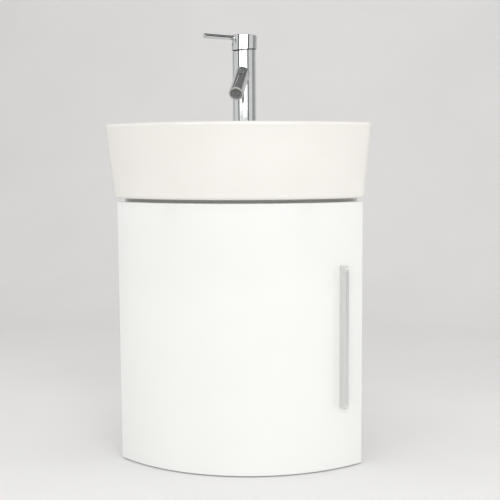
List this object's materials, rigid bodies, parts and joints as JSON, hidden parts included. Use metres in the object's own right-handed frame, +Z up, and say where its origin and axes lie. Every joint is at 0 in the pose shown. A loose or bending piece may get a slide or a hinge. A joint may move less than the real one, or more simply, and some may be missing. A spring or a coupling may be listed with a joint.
{
  "type": "corner vanity unit",
  "caption": "Quarter-round corner vanity unit with one curved white door, bar handle, ceramic basin and pin-lever mixer tap.",
  "frame": {"origin": "middle of the plan's box, on the underside of the cabinet", "axes": "+Z up, curved front towards -Y, wall corner at +Y, the two walls at 45 degrees to +Y"},
  "size_m": [0.5384, 0.3872, 0.8906],
  "materials": {
    "white_board": "satin white melamine",
    "gloss_door": "high gloss white lacquer",
    "zinc_steel": "zinc plated",
    "soft_rubber": "matt",
    "glazed_ceramic": "glossy warm white glaze",
    "chrome_plate": "polished",
    "brass_parts": "machined",
    "copper_tube": "drawn copper tube",
    "white_plastic": "moulded",
    "grey_plastic": "matt",
    "silver_plastic": "silver painted",
    "satin_aluminium": "satin anodised"
  },
  "bodies": {
    "cabinet": {"side_panel_left": "white_board", "side_panel_right": "white_board", "base_panel": "white_board", "front_top_rail": "white_board", "back_rails": "white_board", "shelf": "white_board", "shelf_pins": "zinc_steel", "confirmat_screws": "zinc_steel", "hinge_plates": "zinc_steel", "hinge_arms": "zinc_steel", "hinge_arm_screws": "zinc_steel", "hinge_plate_screws": "zinc_steel", "door_bumpers": "soft_rubber", "basin": "glazed_ceramic", "basin_brackets": "zinc_steel", "basin_bracket_screws": "zinc_steel", "overflow_ring": "chrome_plate", "waste_body": "chrome_plate", "waste_washer": "soft_rubber", "waste_nut": "chrome_plate", "trap_nut": "white_plastic", "trap_seal": "soft_rubber", "trap_body": "white_plastic", "trap_cup": "white_plastic", "outlet_nut": "white_plastic", "outlet_pipe": "white_plastic", "supply_tails": "copper_tube", "tap_gasket": "soft_rubber", "tap_base_ring": "chrome_plate", "tap_body": "chrome_plate", "aerator_housing": "chrome_plate", "aerator_insert": "grey_plastic", "cartridge": "white_plastic", "cartridge_nut": "brass_parts", "tap_stud": "brass_parts", "tap_under_seal": "soft_rubber", "tap_washer": "zinc_steel", "tap_stud_nut": "brass_parts"},
    "door": {"door": "gloss_door", "handle_bar": "satin_aluminium", "handle_end_caps": "silver_plastic", "handle_screws": "zinc_steel", "hinge_cups": "zinc_steel", "hinge_pins": "zinc_steel", "hinge_cup_screws": "zinc_steel"},
    "mixer_swivel": {"cartridge_rotor": "grey_plastic", "stem_pin": "zinc_steel"},
    "mixer_lever": {"cartridge_stem": "zinc_steel", "tap_cap": "chrome_plate", "tap_lever": "chrome_plate", "grub_screw": "zinc_steel", "index_plug": "grey_plastic"},
    "click_plug": {"waste_plug": "chrome_plate", "plug_seal": "soft_rubber"}
  },
  "joints": [
    {"name": "door_hinge", "type": "hinge", "parent": "cabinet", "child": "door", "pos_m": [-0.23936, -0.05869, 0.27], "axis": [0, 0, -1], "range_deg": [0, 90]},
    {"name": "mixer_turn", "type": "hinge", "parent": "cabinet", "child": "mixer_swivel", "pos_m": [0, 0.05834, 0.8492], "axis": [0, 0, 1], "range_deg": [-75, 15]},
    {"name": "mixer_lift", "type": "hinge", "parent": "mixer_swivel", "child": "mixer_lever", "pos_m": [0, 0.05834, 0.8492], "axis": [-0.4226, 0.9063, 0], "range_deg": [-2, 18]},
    {"name": "plug_slide", "type": "slide", "parent": "cabinet", "child": "click_plug", "axis": [0, 0, 1], "range_m": [-0.008, 0]}
  ]
}
